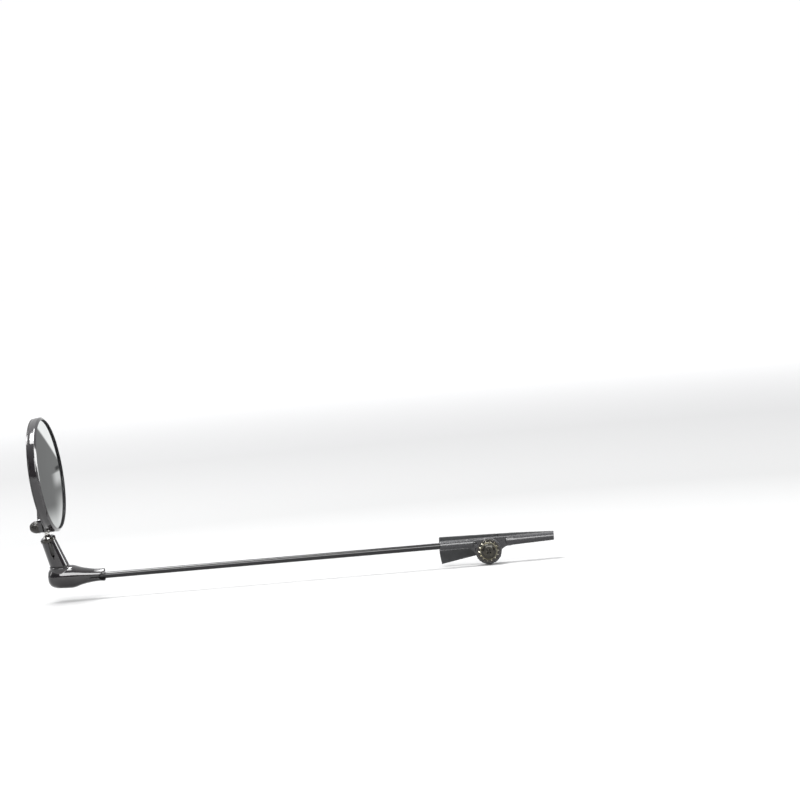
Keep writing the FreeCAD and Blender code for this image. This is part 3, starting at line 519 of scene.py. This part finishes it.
outer = [(0.0, 10.42)]
outer += fillet([(0.0, 10.42), (3.4, 10.42), (4.85, 10.3), (5.45, dome(5.45) + 0.04), (5.9, dome(5.9))],
                [0, 0.5, 0.35, 0.3, 0], False, 5)[1:]
for k in range(1, 46):
    r = 5.9 + (28.55 - 5.9) * k / 45
    step = 0.10 * (1 if r < 21.6 else 0) * min(1.0, max(0.0, (21.6 - r) / 0.25 + 0.0)) if r > 21.0 else 0.10
    outer.append((r, dome(r) + (step - 0.10) * 0.9))
shell_prof = outer + arc(28.4, 4.72, 0.3, 40, 0, 4) + [(28.7, 4.42), (27.8, 4.40), (27.8, 3.45), (26.95, 3.45),
                                                      (26.95, dome(26.95) - 1.2)]
for k in range(1, 12):
    r = 26.95 * (1 - k / 11.0)
    shell_prof.append((max(r, 0.0), dome(max(r, 0.0)) - 1.3))
shell = moved(lathe("shell_dome", shell_prof, False, 256), HEAD_SPUN)
piece(shell, "rear_shell", sharp=60)

# lug that holds the stud, with its pinch slit
lug_pts = []
for y, z in fillet([(-3.2, -20.9), (-3.2, -40.0), (6.7, -40.0), (6.7, -20.9)], [1.7, 0, 0, 1.7], True, 8):
    lug_pts.append((y, z))
lug = prism("shell_lug", [(z, y) for y, z in lug_pts], 4.45, 9.6)
# own x is -z of the head, own y is head y, own z is head x
lug.data.transform(Matrix(((0, 0, 1, 0), (0, 1, 0, 0), (1, 0, 0, 0), (0, 0, 0, 1))))
round_off = moved(lathe("tmp_round", [(0, 2.0), (28.5, 2.0), (28.5, 12.0), (0, 12.0)], False, 192), ALONG_X)
boolean(lug, round_off, "INTERSECT")
fairing = prism("tmp_fairing", [(5.0, 22.0), (9.55, 22.0), (9.55, 20.4), (8.8, 14.6), (8.0, 12.6), (5.0, 12.6)], -2.5, 6.0)
fairing.data.transform(rot("X", -90))
bm = bmesh.new(); bm.from_mesh(fairing.data); bmesh.ops.recalc_face_normals(bm, faces=bm.faces); bm.to_mesh(fairing.data); bm.free()
boolean(lug, fairing, "UNION")
slit = prism("tmp_slit", [(6.95, 0.9), (7.45, 0.9), (7.45, 9.0), (6.95, 9.0)], -31.0, -18.0)
boolean(lug, slit)
shaft = lathe("tmp_shaft", [(0, -40.0), (1.56, -40.0), (1.56, -20.6), (0, -20.6)], False, 48)
boolean(lug, moved(shaft, at(7.2, 0, 0)))
bm = bmesh.new(); bm.from_mesh(lug.data); bmesh.ops.recalc_face_normals(bm, faces=bm.faces); bm.to_mesh(lug.data); bm.free()
softened(lug, 0.11, 4)
piece(moved(lug, HEAD), "rear_shell", stands=True, sharp=0)

# fillet bead where the lug grows out of the dome
bead_pts = []
for k in range(64):
    a = 2 * math.pi * k / 64
    cy, cz = 1.75 + 5.05 * math.copysign(abs(math.cos(a)) ** 0.45, math.cos(a)), -24.4 + 3.7 * math.copysign(abs(math.sin(a)) ** 0.45, math.sin(a))
    rr = math.hypot(cy, cz)
    if rr > 28.1:
        cy, cz, rr = cy * 28.1 / rr, cz * 28.1 / rr, 28.1
    bead_pts.append((dome(rr) - 0.02, cy, cz))
verts, faces = [], []
for k, q in enumerate(bead_pts):
    nxt, prv = Vector(bead_pts[(k + 1) % 64]), Vector(bead_pts[k - 1])
    t = (nxt - prv).normalized()
    u = Vector((1, 0, 0)); u = (u - t * u.dot(t)).normalized(); v = t.cross(u)
    for j in range(10):
        b = 2 * math.pi * j / 10
        verts.append(Vector(q) + (u * math.cos(b) + v * math.sin(b)) * 0.42)
for k in range(64):
    for j in range(10):
        faces.append((k * 10 + j, k * 10 + (j + 1) % 10, ((k + 1) % 64) * 10 + (j + 1) % 10, ((k + 1) % 64) * 10 + j))
piece(moved(mesh("lug_bead", verts, faces), HEAD), "rear_shell", stands=True, sharp=0)

# clamp screw: serrated thumb knob with a hexagon socket, on a washer
KNOB = HEAD @ at(10.0, 3.4, -25.0) @ ALONG_X
kp = fillet([(0, 0.0), (2.8, 0.0), (3.1, 0.3), (3.1, 1.6), (2.7, 2.9), (2.0, 3.9), (1.35, 4.38), (0, 4.4)],
            [0, 0.1, 0.15, 0.35, 1.2, 0.8, 0.3, 0], False, 6)


def serrate(r, z, a):
    return r - (0.11 * (0.5 + 0.5 * math.cos(24 * a)) if (2.7 < r and 0.2 < z < 2.2) else 0.0)


knob = lathe("clamp_knob", split(kp, 0.22), False, 192, serrate)
boolean(knob, prism("tmp_hex", [(1.12 * math.cos(math.radians(60 * k)), 1.12 * math.sin(math.radians(60 * k))) for k in range(6)], 3.4, 6.0))
knob_shank = lathe("tmp_shank", split(fillet([(0, -6.0), (1.15, -6.0), (1.2, -5.8), (1.2, 0.2), (0, 0.2)], [0, .05, .05, 0, 0], False), 0.5), False, 40)
piece(moved(joined("clamp_knob_screw", knob, knob_shank), KNOB), "clamp_screw", sharp=32)
wp = fillet([(1.25, 0.0), (3.28, 0.0), (3.28, 0.4), (1.25, 0.4)], 0.13, True, 5)
piece(moved(lathe("clamp_disc", wp, True, 96), HEAD @ at(9.6, 3.4, -25.0) @ ALONG_X), "clamp_washer", "black_screw")

# ball stud, with turned rings on its neck
sp = [(0, -34.4)] + [(2.5 * math.sin(math.radians(d)), -31.9 - 2.5 * math.cos(math.radians(d))) for d in range(4, 150, 4)]
sp += fillet([sp[-1], (1.22, -29.4), (1.22, -29.0), (1.5, -28.62), (1.5, -21.9), (1.2, -21.6), (0, -21.6)],
             [0, 0.3, 0.1, 0.12, 0.1, 0.05, 0], False, 5)[1:]
piece(moved(lathe("turned_stud", split(sp, 0.35), False, 72), HEAD @ at(7.2, 0, 0)), "ball_stud", sharp=50)

# ------------------------------------------------------------------ stem and elbow
cp = fillet([(3.26, 21.1), (3.8, 21.1), (3.95, 21.3), (3.95, 22.3), (3.55, 22.75), (3.26, 22.75)],
            [0.08, 0.12, 0.12, 0.25, 0.2, 0.1], True, 5)
piece(moved(lathe("ball_collar", split(cp, 0.25, True), True, 112), STEM), "socket_collar")

piece(softened(cad_copy("stem_tube", "stem_barrel"), 0.085, 4), "stem_barrel", sharp=0)
plug = [(0, 13.47), (1.7, 13.47), (1.96, 13.75), (1.96, 20.0), (1.85, 20.3)]
plug += [(2.56 * math.sin(math.radians(d)), 22.0 - 2.56 * math.cos(math.radians(d))) for d in range(44, -1, -4)]
piece(moved(lathe("seat_plug", split(plug, 0.5), False, 64), STEM), "ball_seat", sharp=40)

piece(softened(cad_copy("elbow_shell", "elbow_body"), 0.115, 7), "elbow_body", sharp=0)

es = fillet([(0, -4.2), (2.1, -4.2), (2.5, -3.85), (2.5, -2.4), (1.2, -2.4), (1.2, 10.8), (0, 10.8)],
            [0, 0.25, 0.25, 0.08, 0.05, 0.2, 0], False, 5)
screw = lathe("swivel_bolt", split(es, 0.4), False, 64)
boolean(screw, prism("tmp_hex2", [(1.05 * math.cos(math.radians(60 * k)), 1.05 * math.sin(math.radians(60 * k))) for k in range(6)], -5.3, -3.1))
piece(moved(screw, SWIVEL), "elbow_screw", sharp=32)
sw = fillet([(1.26, 7.04), (4.2, 7.04), (4.2, 7.40), (1.26, 7.40)], 0.1, True, 4)
piece(moved(lathe("swivel_disc", split(sw, 0.6, True), True, 96), SWIVEL), "stem_washer")

# ------------------------------------------------------------------ rod
rp = fillet([(0, 0), (1.3, 0), (1.6, 0.3), (1.6, 199.8), (1.3, 200.1), (0, 200.1)], [0, 0.1, 0.2, 0.2, 0.1, 0], False, 5)
piece(moved(lathe("arm_tube", split(rp, 2.0), False, 64), at(30.0, 6.3, 0) @ ALONG_X), "arm_rod", sharp=50)

# ------------------------------------------------------------------ clip
piece(softened(cad_copy("holder_casting", "rod_holder"), 0.12, 34), "rod_holder", sharp=0)
piece(softened(cad_copy("jaw_casting", "outer_jaw"), 0.12, 34), "outer_jaw", sharp=0)
piece(softened(cad_copy("lever_plate", "inner_jaw"), 0.12, 4), "inner_jaw", "tail_plastic", sharp=0)
piece(softened(cad_copy("grip_near", "outer_grip_pad"), 0.09, 3), "outer_grip_pad", sharp=0)
piece(softened(cad_copy("grip_far", "inner_grip_pad"), 0.09, 3), "inner_grip_pad", sharp=0)

dp = fillet([(1.56, 4.3), (6.1, 4.3), (6.1, 4.7), (1.56, 4.7)], 0.1, True, 4)
piece(moved(lathe("brake_disc", split(dp, 0.8, True), True, 128), PIVOT), "friction_disc")
wp = fillet([(1.56, 7.9), (5.8, 7.9), (5.8, 8.4), (1.56, 8.4)], 0.16, True, 5)
piece(moved(lathe("flat_disc", split(wp, 0.8, True), True, 128), PIVOT), "pivot_washer")

# lock washer with twisted teeth
ring = lathe("tmp_ring", fillet([(1.56, 8.42), (4.4, 8.42), (4.4, 8.88), (1.56, 8.88)], 0.1, True, 4), True, 96)
teeth = []
for k in range(14):
    t = prism("tmp_tooth", [(4.1, -0.44), (5.2, -0.3), (5.2, 0.3), (4.1, 0.44)], -0.13, 0.13, 0.05, 2)
    t.data.transform(rot("X", 24.0))
    t.data.transform(Matrix.Rotation(2 * math.pi * k / 14, 4, "Z"))
    t.data.transform(at(0, 0, 8.65))
    teeth.append(t)
piece(moved(joined("star_washer", ring, *teeth), PIVOT), "lock_washer", sharp=30)

# pan head with a tapered cross recess
hp = fillet([(0, 1.3), (1.35, 1.3), (1.5, 1.5), (1.5, 8.9), (3.7, 8.9), (3.9, 9.1), (3.9, 9.6), (3.5, 10.35),
             (2.4, 10.85), (0, 10.9)], [0, .05, .05, .04, .12, .15, .4, .7, .9, 0], False, 6)
pan = lathe("pan_screw", split(hp, 0.3), False, 112)
for spin in (0, 90):
    wedge = prism("tmp_wedge", [(-1.95, 11.2), (1.95, 11.2), (0.55, 9.6), (-0.55, 9.6)], -0.34, 0.34)
    wedge.data.transform(rot("X", 90))
    wedge.data.transform(rot("Z", spin + 52))
    boolean(pan, wedge)
piece(moved(pan, PIVOT), "pivot_screw", "screw_worn", sharp=34)

# hexagon nut with chamfered corners
nut = prism("hex_nut", [(5.5 / math.sqrt(3) * math.cos(math.radians(60 * k)), 5.5 / math.sqrt(3) * math.sin(math.radians(60 * k)))
                        for k in range(6)], 1.0, 2.8)
cone_cut = lathe("tmp_cone", [(0, 0.99), (2.75, 0.99), (3.25, 1.35), (3.25, 2.81), (0, 2.81)], False, 64)
boolean(nut, cone_cut, "INTERSECT")
boolean(nut, lathe("tmp_bore", [(0, 0.0), (1.52, 0.0), (1.52, 4.0), (0, 4.0)], False, 48))
baked(nut, lambda o: _bevel(o, 0.06, 2, 25))
piece(moved(nut, PIVOT), "pivot_nut", sharp=30)

# hinge pin with a rolled head, and a wound spring
pp = fillet([(0, -8.8), (0.9, -8.8), (1.1, -8.6), (1.1, -8.4), (0.7, -8.4), (0.7, 1.3), (0.5, 1.5), (0, 1.5)],
            [0, .12, .08, .05, .04, .1, .1, 0], False, 5)
piece(moved(lathe("hinge_pin", split(pp, 0.5), False, 48), at(19.5, -0.9, 0)), "jaw_pin", sharp=40)

path = []
for k in range(12):
    f = k / 12.0
    path.append(Vector((19.5 + 1.12 + (1 - f) * 3.75, -0.9 + (1 - f) * 1.5, -4.75)))
for k in range(24 * 4 + 13):
    a = math.radians(15 * k)
    path.append(Vector((19.5 + 1.12 * math.cos(a), -0.9 + 1.12 * math.sin(a), -4.75 + 1.6 * k / 108.0)))
for k in range(1, 14):
    f = k / 13.0
    path.append(Vector((19.5 - 1.12 - f * 5.85, -0.9 + f * 0.98, -3.15)))
verts, faces = [], []
side = Vector((0, 0, 1))
for k, q in enumerate(path):
    t = (path[min(k + 1, len(path) - 1)] - path[max(k - 1, 0)]).normalized()
    u = (side - t * side.dot(t)).normalized(); v = t.cross(u)
    for j in range(12):
        b = 2 * math.pi * j / 12
        verts.append(q + (u * math.cos(b) + v * math.sin(b)) * 0.19)
for k in range(len(path) - 1):
    for j in range(12):
        faces.append((k * 12 + j, k * 12 + (j + 1) % 12, (k + 1) * 12 + (j + 1) % 12, (k + 1) * 12 + j))
faces += [tuple(range(12)), tuple((len(path) - 1) * 12 + j for j in range(12))]
piece(mesh("wound_spring", verts, faces), "jaw_spring", sharp=50)

# ------------------------------------------------------------------ floor, backdrop and lights
bpy.context.scene.view_settings.view_transform = "Standard"

# floor: its colour is painted darker near the object, where the lamps fall strongest, and paler further out (painted
# shade), so the floor reads evenly bright
fl = bpy.data.materials.new("studio_floor")
fl.use_nodes = True
fb = fl.node_tree.nodes["Principled BSDF"]
fb.inputs["Base Color"].default_value = (0.46, 0.46, 0.46, 1)
fb.inputs["Roughness"].default_value = 0.8
ft = fl.node_tree
fo = ft.nodes.new("ShaderNodeTexCoord")
fd = ft.nodes.new("ShaderNodeVectorMath")
fd.operation = "LENGTH"
ft.links.new(fo.outputs["Object"], fd.inputs[0])
fr = ft.nodes.new("ShaderNodeValToRGB")
ff = ft.nodes.new("ShaderNodeMapRange")
ff.inputs["From Min"].default_value, ff.inputs["From Max"].default_value = 0.5, 2.6
ft.links.new(fd.outputs["Value"], ff.inputs["Value"])
ft.links.new(ff.outputs["Result"], fr.inputs["Fac"])
fr.color_ramp.elements[0].color = (NEAR_FLOOR_SHADE, NEAR_FLOOR_SHADE, NEAR_FLOOR_SHADE, 1)
fr.color_ramp.elements[1].color = (0.97, 0.97, 0.97, 1)
ft.links.new(fr.outputs["Color"], fb.inputs["Base Color"])
# beyond 1.2 m the floor glows (painted light), so the far floor is as bright as the lit floor near the object
fe = ft.nodes.new("ShaderNodeMapRange")
for k_, v_ in zip(("From Min", "From Max", "To Min", "To Max"), (1.2, 3.0, 0.0, 0.35)):
    fe.inputs[k_].default_value = v_
ft.links.new(fd.outputs["Value"], fe.inputs["Value"])
fb.inputs["Emission Color"].default_value = (1, 1, 1, 1)
ft.links.new(fe.outputs["Result"], fb.inputs["Emission Strength"])
fb.inputs["Specular IOR Level"].default_value = 0.2

FLOOR_Z = -0.0115
verts = [(-14.0, -14.0, FLOOR_Z), (14.0, -14.0, FLOOR_Z), (14.0, 14.0, FLOOR_Z), (-14.0, 14.0, FLOOR_Z)]
faces = [(0, 1, 2, 3)]
me = bpy.data.meshes.new("sweep")
me.from_pydata(verts, [], faces)
floor = link(bpy.data.objects.new("studio_sweep", me))
floor.data.materials.append(fl)

# room light: bright behind the object, dim on the side the photograph is taken from
world = bpy.data.worlds.new("studio")
bpy.context.scene.world = world
world.use_nodes = True
wt = world.node_tree
bg = wt.nodes["Background"]
wc = wt.nodes.new("ShaderNodeTexCoord")
ws = wt.nodes.new("ShaderNodeSeparateXYZ")
wt.links.new(wc.outputs["Generated"], ws.inputs[0])


def wnode(kind, **kw):
    n = wt.nodes.new(kind)
    for k, v in kw.items():
        setattr(n, k, v)
    return n


def wrange(src, a, b, c, d):
    n = wnode("ShaderNodeMapRange", interpolation_type="SMOOTHSTEP")
    for s, v in zip(("From Min", "From Max", "To Min", "To Max"), (a, b, c, d)):
        n.inputs[s].default_value = v
    wt.links.new(src, n.inputs["Value"])
    return n.outputs["Result"]


def wmath(op, a, b):
    n = wnode("ShaderNodeMath", operation=op)
    for i, v in enumerate((a, b)):
        if isinstance(v, (int, float)):
            n.inputs[i].default_value = v
        else:
            wt.links.new(v, n.inputs[i])
    return n.outputs[0]


back = wrange(ws.outputs["Y"], -0.25, 0.60, 0.80, ROOM_DARK)
sky = wrange(ws.outputs["Z"], 0.35, 0.9, 0.0, 0.55)
seen = wt.nodes.new("ShaderNodeLightPath").outputs["Is Camera Ray"]
lit_by = wmath("MULTIPLY", wmath("ADD", back, sky), wmath("SUBTRACT", 1.0, seen))
wt.links.new(wmath("ADD", lit_by, wmath("MULTIPLY", seen, 1.02)), bg.inputs["Strength"])
bg.inputs["Color"].default_value = (0.985, 0.99, 1.0, 1)


def area(name, loc, target, sx, sy, radiance, colour=(1, 1, 1), soft=180.0):
    """A softbox of sx by sy metres, given by how bright it looks."""
    d = bpy.data.lights.new(name, "AREA")
    d.shape, d.size, d.size_y, d.color = "RECTANGLE", sx, sy, colour
    d.energy = radiance * math.pi * sx * sy
    o = link(bpy.data.objects.new(name, d))
    o.location = loc
    o.rotation_mode = "QUATERNION"
    o.rotation_quaternion = (Vector(target) - Vector(loc)).to_track_quat("-Z", "Y")
    return o


MID = (0.12, 0.0, 0.02)
area("top_back", (0.40, -0.06, 1.15), (0.36, -0.04, 0.0), 0.60, 0.38, 26.0)
area("top_mid", (0.40, 0.27, 1.12), (0.34, 0.05, 0.0), 0.62, 0.26, 13.0)
area("front_box", (-0.12, 1.12, 0.60), (-0.05, 0.0, 0.0), 1.15, 0.62, 10.5)
area("side_strip", (-1.05, -0.10, 0.40), (0.20, 0.0, 0.05), 0.26, 0.76, 12.0)
area("left_strip", (1.35, 0.10, 0.75), (0.24, 0, 0.03), 0.20, 0.9, 6.0)

# a glowing card, not a lamp, that only reflections see: a painted reflection for the mirror, glowing pale above a
# slanting edge, grey below it, pale again near the floor
glass_at = HEAD_AT * MM
card_dir = Vector((-0.349, -0.937, -0.020)).normalized()
cu = card_dir.cross(Vector((0, 0, 1))).normalized()
cv = cu.cross(card_dir)
cm = bpy.data.materials.new("mirror_glow_card")
cm.use_nodes = True
ct = cm.node_tree
for n in list(ct.nodes):
    ct.nodes.remove(n)
co_ = ct.nodes.new("ShaderNodeOutputMaterial")
ce = ct.nodes.new("ShaderNodeEmission")
ct.links.new(ce.outputs[0], co_.inputs["Surface"])
cc = ct.nodes.new("ShaderNodeTexCoord")
cs = ct.nodes.new("ShaderNodeSeparateXYZ")
ct.links.new(cc.outputs["Object"], cs.inputs[0])


def cmath(op, a, b):
    n = ct.nodes.new("ShaderNodeMath")
    n.operation = op
    for i, v in enumerate((a, b)):
        if isinstance(v, (int, float)):
            n.inputs[i].default_value = v
        else:
            ct.links.new(v, n.inputs[i])
    return n.outputs[0]


def cramp(src, a, b, lo, hi):
    n = ct.nodes.new("ShaderNodeMapRange")
    n.interpolation_type = "SMOOTHSTEP"
    for s, v in zip(("From Min", "From Max", "To Min", "To Max"), (a, b, lo, hi)):
        n.inputs[s].default_value = v
    ct.links.new(src, n.inputs["Value"])
    return n.outputs["Result"]


U, V = cs.outputs["X"], cs.outputs["Y"]
above = cmath("SUBTRACT", V, cmath("ADD", cmath("MULTIPLY", U, 0.77), 0.0264))
upper = cramp(above, -0.002, 0.0015, 0.0, 1.0)
grey = cramp(U, -0.03, 0.03, 0.20, 0.185)
low = cmath("MULTIPLY", cramp(U, -0.026, 0.004, 1.0, 0.0), cramp(V, -0.024, -0.010, 0.44, 0.0))
bottom = cramp(V, -0.034, -0.019, 0.48, 0.0)
# a painted brighter patch and a painted darker bar in the card's glow, for the mirror to reflect
patch = cmath("MULTIPLY", cramp(U, -0.016, 0.001, 0.42, 0.0),
              cmath("MULTIPLY", cramp(V, -0.012, -0.004, 0.0, 1.0), cramp(V, -0.0012, 0.0002, 1.0, 0.0)))
bar = cmath("MULTIPLY", cramp(U, -0.018, -0.011, 1.0, 0.0),
            cmath("MULTIPLY", cramp(V, 0.0002, 0.0012, 0.0, 1.0), cramp(V, 0.0024, 0.0036, 1.0, 0.0)))
lit = cmath("ADD", cmath("ADD", grey, low), cmath("ADD", bottom, patch))
lit = cmath("MULTIPLY", lit, cmath("SUBTRACT", 1.0, cmath("MULTIPLY", bar, 0.65)))
mixed = cmath("ADD", cmath("MULTIPLY", lit, cmath("SUBTRACT", 1.0, upper)), cmath("MULTIPLY", upper, 0.93))
ct.links.new(mixed, ce.inputs["Strength"])
me = bpy.data.meshes.new("card")
me.from_pydata([(-0.075, -0.055, 0), (0.08, -0.055, 0), (0.08, 0.085, 0), (-0.075, 0.085, 0)], [], [(0, 1, 2, 3)])
card = link(bpy.data.objects.new("mirror_glow_card", me))
me.materials.append(cm)
card.matrix_world = Matrix.Translation(glass_at + card_dir * 0.26) @ Matrix((cu, cv, -card_dir)).transposed().to_4x4()
for k in ("visible_camera", "visible_shadow", "visible_diffuse", "visible_transmission", "visible_volume_scatter"):
    setattr(card, k, False)

# ------------------------------------------------------------------ camera
ELEV = math.radians(2.5)
ROLL = math.radians(4.947)
DIST = 2.0
TARGET = Vector((61.8, 6.3, 74.7)) * MM
fwd = Vector((0.0, -math.cos(ELEV), -math.sin(ELEV)))
r0 = Vector((-1.0, 0.0, 0.0))
u0 = Vector((0.0, -math.sin(ELEV), math.cos(ELEV)))
right = r0 * math.cos(ROLL) - u0 * math.sin(ROLL)
up = u0 * math.cos(ROLL) + r0 * math.sin(ROLL)
cam_data = bpy.data.cameras.new("photo_camera")
cam = link(bpy.data.objects.new("photo_camera", cam_data))
cam.matrix_world = Matrix.Translation(TARGET - fwd * DIST) @ Matrix((right, up, -fwd)).transposed().to_4x4()
cam_data.sensor_width = 36.0
cam_data.lens = 36.0 * DIST / 0.400
cam_data.clip_start = 0.05
cam_data.clip_end = 30.0
bpy.context.scene.camera = cam
